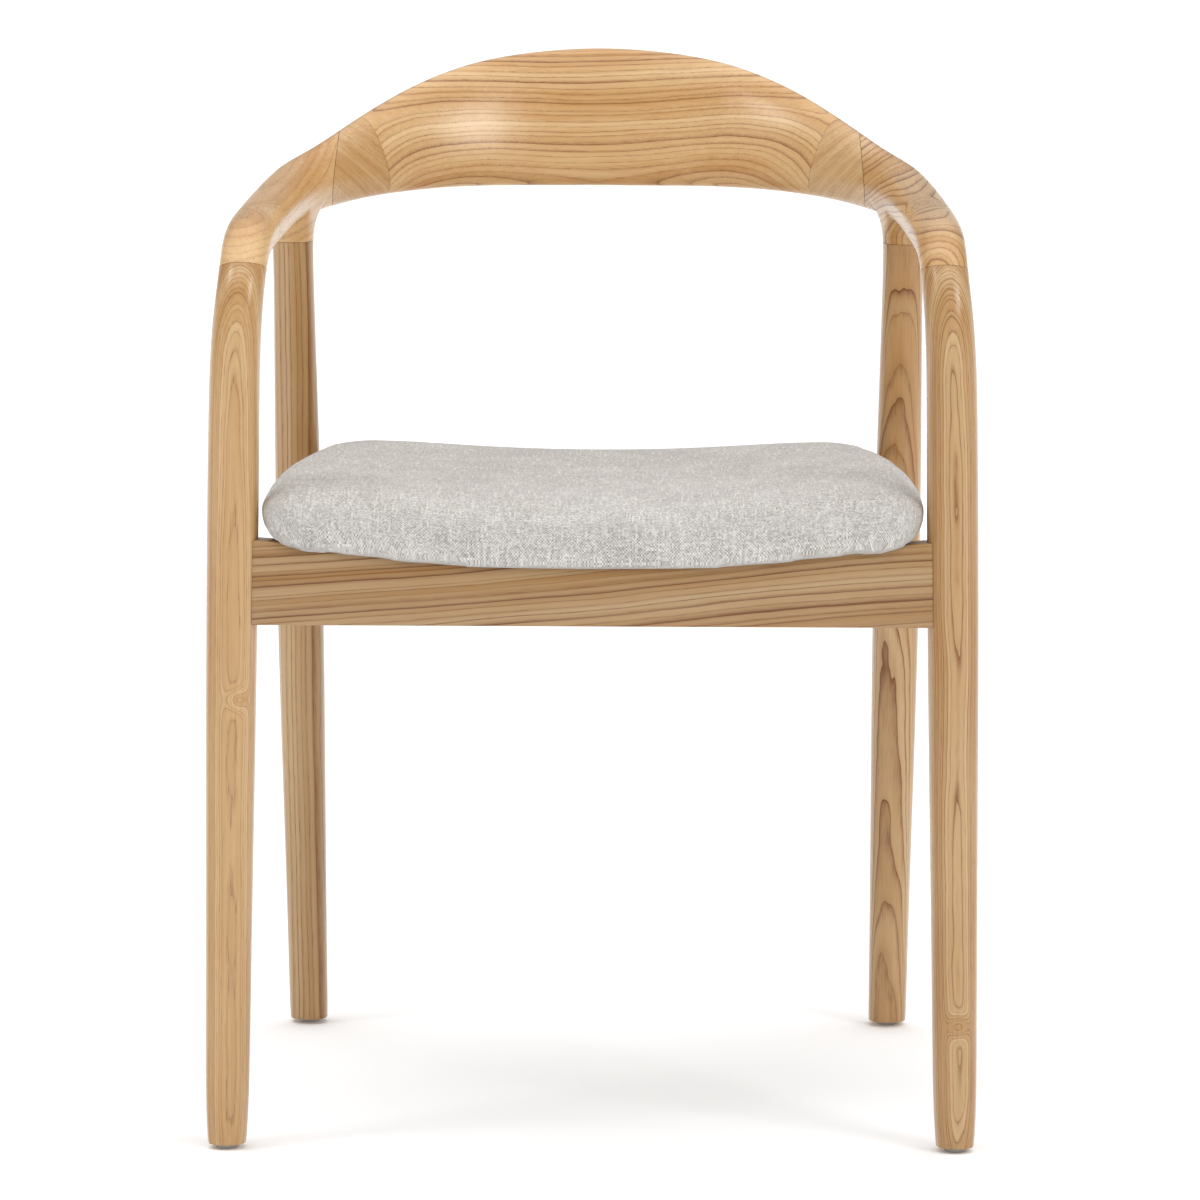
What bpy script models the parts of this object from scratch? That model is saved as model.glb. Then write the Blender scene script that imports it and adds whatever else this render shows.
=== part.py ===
"""A wooden armchair with a padded seat, modelled as the pieces it is made of.

Frame: metres, +Z up, the chair faces -Y, the sitter's left is +X, and the origin is on the floor
under the middle of the chair.

The bow, that is both front legs, the arms and the backrest, flows into the rear legs. It is one
cage with Subdivision Surface, sawn at the glue joints. The seat frame is doweled between the legs,
and the padded seat is screwed to it from below.
"""

import math

import bmesh
import bpy
from mathutils import Matrix, Vector

# ---- Driving dimensions -------------------------------------------------------------------
GAP = 0.0003  # play between neighbouring pieces
RING = 12  # corners in one ring of the cage
CAGE_SWELL = 1 / (2 / 3 + math.cos(2 * math.pi / RING) / 3)  # a cage ring over its smooth curve
LEVELS = 1  # subdivisions of the cage

ORIGIN_Y = 0.0116  # depths are drawn from a line this far in front of the chair's middle
FOOT_Z = 0.0040  # the legs end here, on their glides
FRONT_LEG_Y = -0.2150
FRONT_LEG_FOOT_X = 0.2650
FRONT_LEG_LEAN = 0.0141  # the front legs lean inwards by this much per metre of height
REAR_FOOT_X = 0.2304
REAR_FOOT_Y = 0.2400
REAR_TOP = Vector((0.2322, 0.0860, 0.6370))
REAR_LEAN = (REAR_FOOT_Y - REAR_TOP.y) / REAR_TOP.z  # the rear legs rake back by this much

# The front leg's rings: height and half width.
FRONT_LEG_RINGS = (
    (-0.030, 0.0152),
    (0.080, 0.0159),
    (0.220, 0.0171),
    (0.350, 0.0182),
    (0.460, 0.0184),
    (0.545, 0.0181),
)
# The knee, the arm and the back: x, y, z, heading, recline, half width, half height, squareness.
ARM_RINGS = (
    (0.2560, -0.2142, 0.588, 1, 0, 0.0177, 0.0180, 2.4),
    (0.2539, -0.2100, 0.615, 2, 0, 0.0171, 0.0178, 2.3),
    (0.2517, -0.2010, 0.638, 3, 0, 0.0167, 0.0176, 2.2),
    (0.2503, -0.1840, 0.6535, 4, 0, 0.0172, 0.0172, 2.2),
    (0.2493, -0.1600, 0.6585, 4, 0, 0.0178, 0.0170, 2.2),
    (0.2480, -0.1200, 0.6612, 4, 0, 0.0184, 0.0170, 2.2),
    (0.2455, -0.0700, 0.6640, 4, 1, 0.0185, 0.0172, 2.2),
    (0.2425, -0.0200, 0.6670, 5, 2, 0.0183, 0.0178, 2.2),
    (0.2388, 0.0250, 0.6703, 7, 3, 0.0181, 0.0186, 2.2),
    (0.2345, 0.0600, 0.6734, 10, 5, 0.0178, 0.0196, 2.2),
    (0.2298, 0.0840, 0.6762, 15, 7, 0.0174, 0.0208, 2.2),
    (0.2214, 0.1080, 0.6790, 22, 9, 0.0162, 0.0220, 2.1),
    (0.2080, 0.1340, 0.6832, 31, 12, 0.0153, 0.0238, 2.1),
    (0.1896, 0.1590, 0.6903, 40, 15, 0.0148, 0.0275, 2.2),
    (0.1650, 0.1820, 0.6988, 49, 16, 0.0142, 0.0335, 2.3),
    (0.1320, 0.2050, 0.7088, 58, 16, 0.0132, 0.0414, 2.5),
    (0.0900, 0.2250, 0.7174, 68, 15, 0.0122, 0.0490, 2.7),
    (0.0450, 0.2370, 0.7206, 79, 14, 0.0116, 0.0526, 2.8),
    (0.0000, 0.2410, 0.7222, 90, 14, 0.0114, 0.0540, 2.8),
)
STUB_RING = 10  # the ring of ARM_RINGS over the middle of the rear leg
# The rear leg's rings: distance below its top along its axis, and half width.
REAR_LEG_RINGS = (
    (-0.0090, 0.0158),
    (0.0070, 0.0151),
    (0.0400, 0.0151),
    (0.1200, 0.0163),
    (0.2300, 0.0177),
    (0.3500, 0.0177),
    (0.5000, 0.0160),
    (0.6200, 0.0149),
    (0.7000, 0.0146),
)
LEG_SQUARENESS = 2.5

# Glue joints of the frame: a point on the joint and the direction across it.
KNEE_JOINT = (Vector((0.2530, -0.1990, 0.6400)), Vector((0, math.sin(0.37), math.cos(0.37))))
HIP_JOINT = (REAR_TOP, Vector((0, -0.05, 1)).normalized())
SHOULDER_JOINT = (Vector((0.1760, 0.1720, 0.6950)), Vector((0.69, -0.69, -0.20)).normalized())
BLOCK_JOINT = (Vector((0.2020, 0.1420, 0.6850)), Vector((1, 0, 0.07)).normalized())
SAW_REACH = 0.080  # a saw cut takes in the faces within this distance of its point

# Seat frame
RAIL_BOTTOM = 0.3857
RAIL_END_TOP = 0.4470
RAIL_SCOOP = 0.0170  # the rails' tops are this much lower in the middle
RAIL_THICKNESS = 0.0220
FRONT_RAIL_Y = -0.2170
REAR_RAIL_Y = REAR_FOOT_Y - REAR_LEAN * (RAIL_BOTTOM + RAIL_END_TOP) / 2
SIDE_RAIL_FRONT_X = 0.2185
SIDE_RAIL_REAR_X = 0.2275
SIDE_RAIL_THICKNESS = 0.0200
SIDE_RAIL_TOP = 0.4425
BLOCK_SIZE = 0.0460  # a corner block's length along each rail
BLOCK_TOP = 0.4385
BLOCK_BOTTOM = 0.3985

# Seat, in layers from the rails up: dust cover, turned-in fabric, board, foam
SEAT_FRONT_Y = -0.2360
SEAT_WAIST_Y = 0.1190  # from here back the seat is narrower, between the rear legs
SEAT_REAR_Y = 0.1753
SEAT_HALF_FRONT = 0.2395
SEAT_HALF_WAIST = 0.2110
SEAT_HALF_REAR = 0.1900
SEAT_BULGE = 0.0115  # the seat's sides bulge this far between the front and the rear legs
SEAT_THICKNESS = 0.0440
SEAT_EDGE_DROP = 0.0180  # the rounding of the seat's upper edge
CORNER_CUT = 0.050  # the share of the half width that the rounded plan corners take off
CLOTH = 0.0006
FABRIC = 0.0010
BOARD = 0.0090
FABRIC_FROM = GAP + CLOTH + GAP
BOARD_FROM = FABRIC_FROM + FABRIC + GAP
FOAM_FROM = BOARD_FROM + BOARD + GAP
SEAT_COLUMNS = 14
SEAT_ROWS = 10
BAND = 0.70  # the fabric is turned in under the board as far as this share of the seat
DUST_COVER_INSET = 0.0200
BOARD_INSET = 0.0120
COVER_TO_FOAM = FABRIC + 0.0015

# Fixings
SIDEWAYS = Vector((1, 0, 0))
UPWARDS = Vector((0, 0, 1))
BACKWARDS = Vector((0, 1, 0))
SINGLE_PARTS = ("front_rail", "rear_rail", "backrest")  # the parts with no left and right
CROSS_RAIL_DOWEL_SPREAD = 0.0145  # the dowels of a pair lie this far above and below its middle
SIDE_RAIL_DOWEL_SPREAD = 0.0105
SHOULDER_DOWEL_SPREAD = 0.0140
DOWEL_RADIUS = 0.0040
DOWEL_SIDES = 8
SCREW_RADIUS = 0.0020
SCREW_HEAD_RADIUS = 0.0040
SCREW_HEAD = 0.0024
BLOCK_SCREW_LENGTH = 0.0300
SEAT_SCREW_LENGTH = 0.0500
GLIDE_RADIUS = 0.0080
GLIDE_EDGE = 0.0008
NAIL_RADIUS = 0.0011
NAIL_LENGTH = 0.0150

WOOD = (0.70, 0.48, 0.27)
FABRIC_COLOUR = (0.62, 0.58, 0.53)
FOAM_COLOUR = (0.85, 0.78, 0.55)
BLACK_CLOTH = (0.03, 0.03, 0.03)
STEEL = (0.55, 0.55, 0.56)
GREY_PLASTIC = (0.42, 0.42, 0.43)


# ---- Objects, materials and cuts ----------------------------------------------------------
def clear_scene():
    for obj in list(bpy.data.objects):
        bpy.data.objects.remove(obj)


def new_collection(name):
    collection = bpy.data.collections.new(name)
    bpy.context.scene.collection.children.link(collection)
    return collection


def new_material(name, colour, roughness, metallic):
    material = bpy.data.materials.new(name)
    material.use_nodes = True
    shader = material.node_tree.nodes["Principled BSDF"]
    shader.inputs["Base Color"].default_value = (*colour, 1)
    shader.inputs["Roughness"].default_value = roughness
    shader.inputs["Metallic"].default_value = metallic
    return material


def new_object(name, bm, colour, roughness=0.45, metallic=0.0, smooth=True):
    """Put a finished bmesh into the scene as a part with its own material."""
    bmesh.ops.recalc_face_normals(bm, faces=bm.faces)
    mesh = bpy.data.meshes.new(name)
    bm.to_mesh(mesh)
    bm.free()
    if smooth:
        mesh.shade_smooth()
        mesh.set_sharp_from_angle(angle=math.radians(40))
    mesh.materials.append(new_material(name, colour, roughness, metallic))
    obj = bpy.data.objects.new(name, mesh)
    parts.objects.link(obj)
    return obj


def new_cutter(name, bm):
    bmesh.ops.recalc_face_normals(bm, faces=bm.faces)
    mesh = bpy.data.meshes.new(name)
    bm.to_mesh(mesh)
    bm.free()
    obj = bpy.data.objects.new(name, mesh)
    cutters.objects.link(obj)
    obj.hide_render = True
    obj.display_type = "WIRE"
    return obj


def subtract(obj, cutter):
    cut = obj.modifiers.new(cutter.name, "BOOLEAN")
    cut.operation = "DIFFERENCE"
    cut.solver = "EXACT"
    cut.object = cutter


def add_rod(bm, start, end, radius, end_radius=None, sides=DOWEL_SIDES):
    """Add a closed round rod or cone from start to end to a bmesh."""
    direction = end - start
    turn = direction.to_track_quat("Z", "Y").to_matrix().to_4x4()
    place = Matrix.Translation((start + end) / 2) @ turn
    bmesh.ops.create_cone(
        bm,
        cap_ends=True,
        segments=sides,
        radius1=radius,
        radius2=radius if end_radius is None else end_radius,
        depth=direction.length,
        matrix=place,
    )


def keep_below(bm, point, normal):
    """Cut away what is on the normal's side of a plane and close the cut."""
    geometry = bm.verts[:] + bm.edges[:] + bm.faces[:]
    bmesh.ops.bisect_plane(bm, geom=geometry, plane_co=point, plane_no=normal, clear_outer=True)
    bmesh.ops.holes_fill(bm, edges=[edge for edge in bm.edges if edge.is_boundary], sides=0)


def box(low, high):
    """A box between two corners, as a bmesh."""
    bm = bmesh.new()
    size = [high[i] - low[i] for i in range(3)]
    middle = Vector([(high[i] + low[i]) / 2 for i in range(3)])
    place = Matrix.Translation(middle) @ Matrix.Diagonal((*size, 1))
    bmesh.ops.create_cube(bm, size=1, matrix=place)
    return bm


def side_name(side):
    return "left" if side > 0 else "right"


def mirrored(vector, side):
    return Vector((vector.x * side, vector.y, vector.z))


# ---- The flowing wooden form --------------------------------------------------------------
def ring_points(centre, side, up, half_side, half_up, squareness):
    """One cage ring: a superellipse, from the side direction round towards the up direction."""
    points = []
    for step in range(RING):
        turn = 2 * math.pi * step / RING
        c, s = math.cos(turn), math.sin(turn)
        across = math.copysign(abs(c) ** (2 / squareness), c) * half_side * CAGE_SWELL
        along = math.copysign(abs(s) ** (2 / squareness), s) * half_up * CAGE_SWELL
        points.append(centre + side * across + up * along)
    return points


def bow_stations():
    """The stations of the half bow: centre, heading, recline, half width, half height, squareness."""
    stations = []
    for height, half in FRONT_LEG_RINGS:
        x = FRONT_LEG_FOOT_X - FRONT_LEG_LEAN * height
        stations.append((Vector((x, FRONT_LEG_Y, height)), 0, 0, half, half, LEG_SQUARENESS))
    for x, y, z, heading, recline, half_side, half_up, squareness in ARM_RINGS:
        stations.append((Vector((x, y, z)), heading, recline, half_side, half_up, squareness))
    return stations


def bow_rings():
    """The half bow's cage rings, from the front foot to the middle of the backrest."""
    stations = bow_stations()
    rings = []
    for index, (centre, heading, recline, half_side, half_up, squareness) in enumerate(stations):
        before = stations[max(index - 1, 0)][0]
        last = index + 1 == len(stations)
        tangent = Vector((-1, 0, 0)) if last else (stations[index + 1][0] - before).normalized()
        turn = math.radians(heading)
        side = Vector((math.cos(turn), math.sin(turn), 0))
        side = (side - side.dot(tangent) * tangent).normalized()
        up = side.cross(tangent)
        tilt = math.radians(recline)
        leaned_up = up * math.cos(tilt) + side * math.sin(tilt)
        leaned_side = side * math.cos(tilt) - up * math.sin(tilt)
        rings.append(ring_points(centre, leaned_side, leaned_up, half_side, half_up, squareness))
    return rings


def rear_leg_axis(height):
    """The point on the rear leg's axis at a height."""
    foot = Vector((REAR_FOOT_X, REAR_FOOT_Y, 0))
    return foot.lerp(REAR_TOP, height / REAR_TOP.z)


def rear_leg_rings():
    """The rear leg's cage rings, from +X round towards the back, from the arm down."""
    down = (rear_leg_axis(0) - REAR_TOP).normalized()
    side = Vector((1, 0, 0))
    back = side.cross(down)
    return [
        ring_points(REAR_TOP + down * distance, side, back, half, half, LEG_SQUARENESS)
        for distance, half in REAR_LEG_RINGS
    ]


def half_frame_cage():
    """The +X half of the frame as a cage of quads, with a stub under the arm for the rear leg."""
    bm = bmesh.new()
    rings = [[bm.verts.new(point) for point in ring] for ring in bow_rings()]
    stub = len(FRONT_LEG_RINGS) + STUB_RING
    low, high = 3 * RING // 4 - 2, 3 * RING // 4 + 2  # the stub takes the corners that face down
    for i in range(len(rings) - 1):
        for k in range(RING):
            if i in (stub - 1, stub) and low <= k < high:
                continue
            n = (k + 1) % RING
            bm.faces.new((rings[i][k], rings[i + 1][k], rings[i + 1][n], rings[i][n]))
    bm.faces.new(rings[0])
    for k in range(low + 1, high):
        bm.verts.remove(rings[stub][k])
    front, middle, back = rings[stub - 1], rings[stub], rings[stub + 1]
    above = [middle[high]]
    above += [back[k] for k in range(high, low - 1, -1)]
    above += [middle[low]]
    above += [front[k] for k in range(low, high + 1)]
    for ring in rear_leg_rings():
        below = [bm.verts.new(point) for point in ring]
        for k in range(RING):
            n = (k + 1) % RING
            bm.faces.new((above[k], above[n], below[n], below[k]))
        above = below
    bm.faces.new(above)
    return bm


def frame_form():
    """The whole wooden form before it is sawn: the half cage, mirrored and subdivided."""
    cage = half_frame_cage()
    mesh = bpy.data.meshes.new("frame_form")
    cage.to_mesh(mesh)
    cage.free()
    obj = bpy.data.objects.new("frame_form", mesh)
    cutters.objects.link(obj)
    mirror = obj.modifiers.new("mirror", "MIRROR")
    mirror.use_clip = True
    mirror.merge_threshold = 0.0001
    smooth = obj.modifiers.new("smooth", "SUBSURF")
    smooth.levels = LEVELS
    smooth.render_levels = LEVELS
    bpy.context.view_layer.update()
    form = obj.evaluated_get(bpy.context.evaluated_depsgraph_get())
    bm = bmesh.new()
    bm.from_mesh(form.to_mesh())
    bpy.data.objects.remove(obj)
    bmesh.ops.recalc_face_normals(bm, faces=bm.faces)
    return bm


def connected(bm, seed):
    """All the corners of the body that the corner nearest to the seed belongs to."""
    start = min(bm.verts, key=lambda vert: (vert.co - seed).length)
    found = {start}
    waiting = [start]
    while waiting:
        for edge in waiting.pop().link_edges:
            for vert in edge.verts:
                if vert not in found:
                    found.add(vert)
                    waiting.append(vert)
    return found


def saw(bm, point, normal, seed):
    """Saw the body near the seed in two at a glue joint, with a kerf of GAP, and close both cuts."""
    for offset in (-GAP / 2, GAP / 2):
        body = connected(bm, seed)
        faces = [
            face
            for face in bm.faces
            if face.verts[0] in body and (face.calc_center_median() - point).length < SAW_REACH
        ]
        edges = list({edge for face in faces for edge in face.edges})
        verts = list({vert for face in faces for vert in face.verts})
        cut_at = point + normal * offset
        geometry = verts + edges + faces
        bmesh.ops.bisect_plane(bm, geom=geometry, plane_co=cut_at, plane_no=normal, dist=1e-7)
    kerf = [
        face
        for face in bm.faces
        if (face.calc_center_median() - point).length < SAW_REACH
        and all(abs((vert.co - point).dot(normal)) < GAP / 2 + 1e-6 for vert in face.verts)
    ]
    bmesh.ops.delete(bm, geom=kerf, context="FACES")
    bmesh.ops.holes_fill(bm, edges=[edge for edge in bm.edges if edge.is_boundary], sides=0)


def body_at(bm, seed):
    """A bmesh with a copy of one sawn piece."""
    body = connected(bm, seed)
    for index, vert in enumerate(bm.verts):
        vert.tag = vert in body
    piece = bm.copy()
    bmesh.ops.delete(piece, geom=[vert for vert in piece.verts if not vert.tag], context="VERTS")
    return piece


def make_wooden_frame():
    """The legs, arms, inner blocks and backrest, sawn from the form at its glue joints."""
    bm = frame_form()
    keep_below(bm, Vector((0, 0, FOOT_Z)), Vector((0, 0, -1)))
    seeds = {
        "front_leg": Vector((0.2600, -0.2150, 0.3000)),
        "rear_leg": rear_leg_axis(0.30),
        "arm": Vector((0.2450, -0.0500, 0.6640)),
        "arm_inner_block": Vector((0.1850, 0.1400, 0.6900)),
    }
    for side in (1, -1):
        for point, normal in (KNEE_JOINT, HIP_JOINT, SHOULDER_JOINT, BLOCK_JOINT):
            seed = mirrored(seeds["arm"], side)
            saw(bm, mirrored(point, side), mirrored(normal, side), seed)
    for side in (1, -1):
        for name, seed in seeds.items():
            new_object(f"{name}_{side_name(side)}", body_at(bm, mirrored(seed, side)), WOOD)
    new_object("backrest", body_at(bm, Vector((0, 0.2400, 0.7200))), WOOD)
    bm.free()


def fattened(obj):
    """A cutter with the object's shape, larger by GAP all round."""
    bm = bmesh.new()
    bm.from_mesh(obj.data)
    bm.normal_update()
    for vert in bm.verts:
        vert.co += vert.normal * GAP * 1.1
    return new_cutter(f"{obj.name}_clearance", bm)


# ---- Seat frame ---------------------------------------------------------------------------
def rail_top(x):
    """The height of the scooped tops of the front and rear rails."""
    reach = min(abs(x) / 0.2436, 1)
    return RAIL_END_TOP - RAIL_SCOOP * (1 - reach**2) ** 1.4


def slice_across(bm, axis, low, high, count):
    """Slice a bmesh into equal columns along one axis."""
    for step in range(1, count):
        point = Vector((0, 0, 0))
        normal = Vector((0, 0, 0))
        point[axis] = low + (high - low) * step / count
        normal[axis] = 1
        geometry = bm.verts[:] + bm.edges[:] + bm.faces[:]
        bmesh.ops.bisect_plane(bm, geom=geometry, plane_co=point, plane_no=normal)


def make_cross_rail(name, y, lean, half_length, legs):
    """A rail across the chair with a scooped top, its ends coped round the legs."""
    half = RAIL_THICKNESS / 2
    bm = box((-half_length, y - half, RAIL_BOTTOM), (half_length, y + half, RAIL_END_TOP + 0.01))
    slice_across(bm, 0, -half_length, half_length, 16)
    for vert in bm.verts:
        if vert.co.z > RAIL_END_TOP:
            vert.co.z = rail_top(vert.co.x)
        vert.co.y -= (vert.co.z - (RAIL_BOTTOM + RAIL_END_TOP) / 2) * lean
    rail = new_object(name, bm, WOOD)
    for leg in legs:
        subtract(rail, leg)


def side_rail_x(y):
    """The middle of the side rail at a depth."""
    share = (y - FRONT_RAIL_Y) / (REAR_RAIL_Y - FRONT_RAIL_Y)
    return SIDE_RAIL_FRONT_X + (SIDE_RAIL_REAR_X - SIDE_RAIL_FRONT_X) * share


def side_rail_plane(side, inwards):
    """A plane along a side rail, this far inwards of its middle, that faces outwards."""
    across = Vector((REAR_RAIL_Y - FRONT_RAIL_Y, SIDE_RAIL_FRONT_X - SIDE_RAIL_REAR_X, 0)).normalized()
    point = Vector((SIDE_RAIL_FRONT_X, FRONT_RAIL_Y, 0)) - across * inwards
    return mirrored(point, side), mirrored(across, side)


def make_side_rail(side, leg):
    """A rail from the back of the front rail to the front of a rear leg."""
    front = FRONT_RAIL_Y + RAIL_THICKNESS / 2 + GAP
    bm = box((-0.3, front, RAIL_BOTTOM + 0.002), (0.3, REAR_RAIL_Y, SIDE_RAIL_TOP))
    point, across = side_rail_plane(side, SIDE_RAIL_THICKNESS / 2)
    keep_below(bm, point, -across)
    point, across = side_rail_plane(side, -SIDE_RAIL_THICKNESS / 2)
    keep_below(bm, point, across)
    rail = new_object(f"side_rail_{side_name(side)}", bm, WOOD, smooth=False)
    subtract(rail, leg)


def make_corner_block(name, side, y, normal, inward, leg=None):
    """A three-cornered block in the corner of a cross rail, whose face is a plane, and a side rail."""
    near, far = y - inward * 0.02, y + inward * 0.1
    bm = box((-0.3, min(near, far), BLOCK_BOTTOM), (0.3, max(near, far), BLOCK_TOP))
    keep_below(bm, Vector((0, y, (RAIL_BOTTOM + RAIL_END_TOP) / 2)), normal)
    point, across = side_rail_plane(side, SIDE_RAIL_THICKNESS / 2 + GAP)
    keep_below(bm, point, across)
    corner = block_corner(side, y)
    diagonal = Vector((-side, inward, 0)).normalized()
    keep_below(bm, corner + diagonal * BLOCK_SIZE / math.sqrt(2), diagonal)
    block = new_object(name, bm, WOOD, smooth=False)
    if leg:
        subtract(block, leg)


def block_corner(side, y):
    """The corner between a side rail's inner face and a cross rail's face at a depth."""
    return Vector((side * (side_rail_x(y) - SIDE_RAIL_THICKNESS / 2), y, 0))


def cross_rail_faces():
    """The inner faces of the front and rear rails: name, depth, outward normal, way inwards."""
    return (
        ("front", FRONT_RAIL_Y + RAIL_THICKNESS / 2 + GAP, Vector((0, -1, 0)), 1),
        ("rear", REAR_RAIL_Y - RAIL_THICKNESS / 2 - GAP, Vector((0, 1, REAR_LEAN)).normalized(), -1),
    )


def make_seat_frame():
    """The four rails and the corner blocks."""
    fat = {}
    for name in ("front_leg_left", "front_leg_right", "rear_leg_left", "rear_leg_right"):
        fat[name] = fattened(parts.objects[name])
    front_legs = (fat["front_leg_left"], fat["front_leg_right"])
    rear_legs = (fat["rear_leg_left"], fat["rear_leg_right"])
    make_cross_rail("front_rail", FRONT_RAIL_Y, 0, 0.2590, front_legs)
    make_cross_rail("rear_rail", REAR_RAIL_Y, REAR_LEAN, 0.2312, rear_legs)
    for side in (1, -1):
        leg = fat[f"rear_leg_{side_name(side)}"]
        make_side_rail(side, leg)
        for place, y, normal, inward in cross_rail_faces():
            name = f"corner_block_{place}_{side_name(side)}"
            make_corner_block(name, side, y, normal, inward, leg if place == "rear" else None)


# ---- Seat ---------------------------------------------------------------------------------
def seat_half_width(y):
    """Half the seat's width at a depth."""
    if y > SEAT_WAIST_Y:
        share = (y - SEAT_WAIST_Y) / (SEAT_REAR_Y - SEAT_WAIST_Y)
        return SEAT_HALF_WAIST + (SEAT_HALF_REAR - SEAT_HALF_WAIST) * share
    share = (y - SEAT_FRONT_Y) / (SEAT_WAIST_Y - SEAT_FRONT_Y)
    straight = SEAT_HALF_FRONT + (SEAT_HALF_WAIST - SEAT_HALF_FRONT) * share
    return straight + SEAT_BULGE * 4 * share * (1 - share)


def seat_form(inset, low, high, edge_drop):
    """A layer of the seat between two heights over the rails, its outline shrunk by the inset."""
    bm = box((-1, -1, 0), (1, 1, 1))
    slice_across(bm, 0, -1, 1, SEAT_COLUMNS)
    slice_across(bm, 1, -1, 1, SEAT_ROWS)
    half_depth = (SEAT_REAR_Y - SEAT_FRONT_Y) / 2
    for vert in bm.verts:
        u, v, w = vert.co
        y = SEAT_FRONT_Y + half_depth + v * (1 - CORNER_CUT * u**8) * (half_depth - inset)
        x = u * (1 - CORNER_CUT * v**8) * (seat_half_width(y) - inset)
        rounding = edge_drop * max(u**8, v**8)
        vert.co = (x, y, rail_top(x) + (low if w < 0.5 else high - rounding))
    return bm


def seat_shell():
    """The seat's fabric: its outside as an open surface, turned in under the board."""
    bm = seat_form(0, FABRIC_FROM, SEAT_THICKNESS, SEAT_EDGE_DROP)
    reach_x = BAND * SEAT_HALF_FRONT + 0.005
    reach_y = BAND * (SEAT_REAR_Y - SEAT_FRONT_Y) / 2 + 0.005
    middle = (SEAT_REAR_Y + SEAT_FRONT_Y) / 2
    bm.normal_update()
    inner = [
        face
        for face in bm.faces
        if face.normal.z < -0.7
        and all(abs(vert.co.x) < reach_x and abs(vert.co.y - middle) < reach_y for vert in face.verts)
    ]
    bmesh.ops.delete(bm, geom=inner, context="FACES")
    return bm


def make_seat():
    """The plywood board, the foam on it, the fabric round both and the cloth under them."""
    foam = seat_form(COVER_TO_FOAM, FOAM_FROM, SEAT_THICKNESS - COVER_TO_FOAM, SEAT_EDGE_DROP)
    new_object("seat_foam", foam, FOAM_COLOUR, roughness=0.9)
    board = seat_form(BOARD_INSET, BOARD_FROM, BOARD_FROM + BOARD, 0)
    new_object("seat_board", board, WOOD)
    cloth = seat_form(DUST_COVER_INSET, GAP, GAP + CLOTH, 0)
    new_object("dust_cover", cloth, BLACK_CLOTH, roughness=0.95)
    cover = new_object("seat_cover", seat_shell(), FABRIC_COLOUR, roughness=0.95)
    thickness = cover.modifiers.new("thickness", "SOLIDIFY")
    thickness.thickness = FABRIC
    thickness.offset = -1
    thickness.use_even_offset = True


# ---- Fixings ------------------------------------------------------------------------------
def rail_dowels(level, high):
    """The dowels of one level in the rails' joints on one side: name, middle, axis, half length, parts."""
    z = (RAIL_BOTTOM + RAIL_END_TOP) / 2 - 0.0013 + high * CROSS_RAIL_DOWEL_SPREAD
    middle = Vector((0.2405, FRONT_RAIL_Y, z))
    yield f"front_rail_dowel_{level}", middle, SIDEWAYS, 0.015, "front_rail", "front_leg"
    middle = Vector((0.2150, rear_leg_axis(z).y, z))
    yield f"rear_rail_dowel_{level}", middle, SIDEWAYS, 0.014, "rear_rail", "rear_leg"
    z = (RAIL_BOTTOM + SIDE_RAIL_TOP) / 2 + high * SIDE_RAIL_DOWEL_SPREAD
    y = FRONT_RAIL_Y + RAIL_THICKNESS / 2
    middle = Vector((side_rail_x(y), y, z))
    yield f"side_rail_front_dowel_{level}", middle, BACKWARDS, 0.012, "front_rail", "side_rail"
    y = rear_leg_axis(z).y - 0.0175
    middle = Vector((side_rail_x(y), y, z))
    yield f"side_rail_rear_dowel_{level}", middle, BACKWARDS, 0.010, "side_rail", "rear_leg"
    middle = SHOULDER_JOINT[0] + Vector((0.02, 0.02, 1)).normalized() * high * SHOULDER_DOWEL_SPREAD
    axis = SHOULDER_JOINT[1]
    yield f"backrest_dowel_{level}", middle, axis, 0.013, "arm_inner_block", "backrest"


def dowel_plan():
    """Every dowel: name, middle, direction, half length and the two parts that it joins."""
    joints = [*rail_dowels("upper", 1), *rail_dowels("lower", -1)]
    joints.append(("knee_dowel", KNEE_JOINT[0], KNEE_JOINT[1], 0.016, "front_leg", "arm"))
    joints.append(("hip_dowel", REAR_TOP, REAR_TOP - rear_leg_axis(0), 0.015, "rear_leg", "arm"))
    for side in (1, -1):
        word = side_name(side)
        for name, middle, axis, half, first, second in joints:
            ends = [part if part in SINGLE_PARTS else f"{part}_{word}" for part in (first, second)]
            direction = mirrored(axis.normalized(), side)
            yield f"{name}_{word}", mirrored(middle, side), direction, half, ends


def new_turned(name, profile, tip, direction, colour, metallic=0.0):
    """A turned piece from a profile of radius and distance back from its tip, on its own axis."""
    bm = bmesh.new()
    verts = [bm.verts.new((radius, 0, -back)) for radius, back in profile]
    for first, second in zip(verts, verts[1:]):
        bm.edges.new((first, second))
    mesh = bpy.data.meshes.new(name)
    bm.to_mesh(mesh)
    bm.free()
    mesh.materials.append(new_material(name, colour, 0.35, metallic))
    obj = bpy.data.objects.new(name, mesh)
    parts.objects.link(obj)
    obj.matrix_world = Matrix.Translation(tip) @ direction.to_track_quat("Z", "Y").to_matrix().to_4x4()
    turning = obj.modifiers.new("turning", "SCREW")
    turning.steps = DOWEL_SIDES
    turning.render_steps = DOWEL_SIDES
    turning.use_merge_vertices = True
    turning.merge_threshold = 0.00001
    return obj


def screw_profile(length):
    return (
        (0, 0),
        (SCREW_RADIUS * 0.6, 0.002),
        (SCREW_RADIUS, 0.005),
        (SCREW_RADIUS, length - SCREW_HEAD),
        (SCREW_HEAD_RADIUS, length),
        (0, length),
    )


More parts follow.
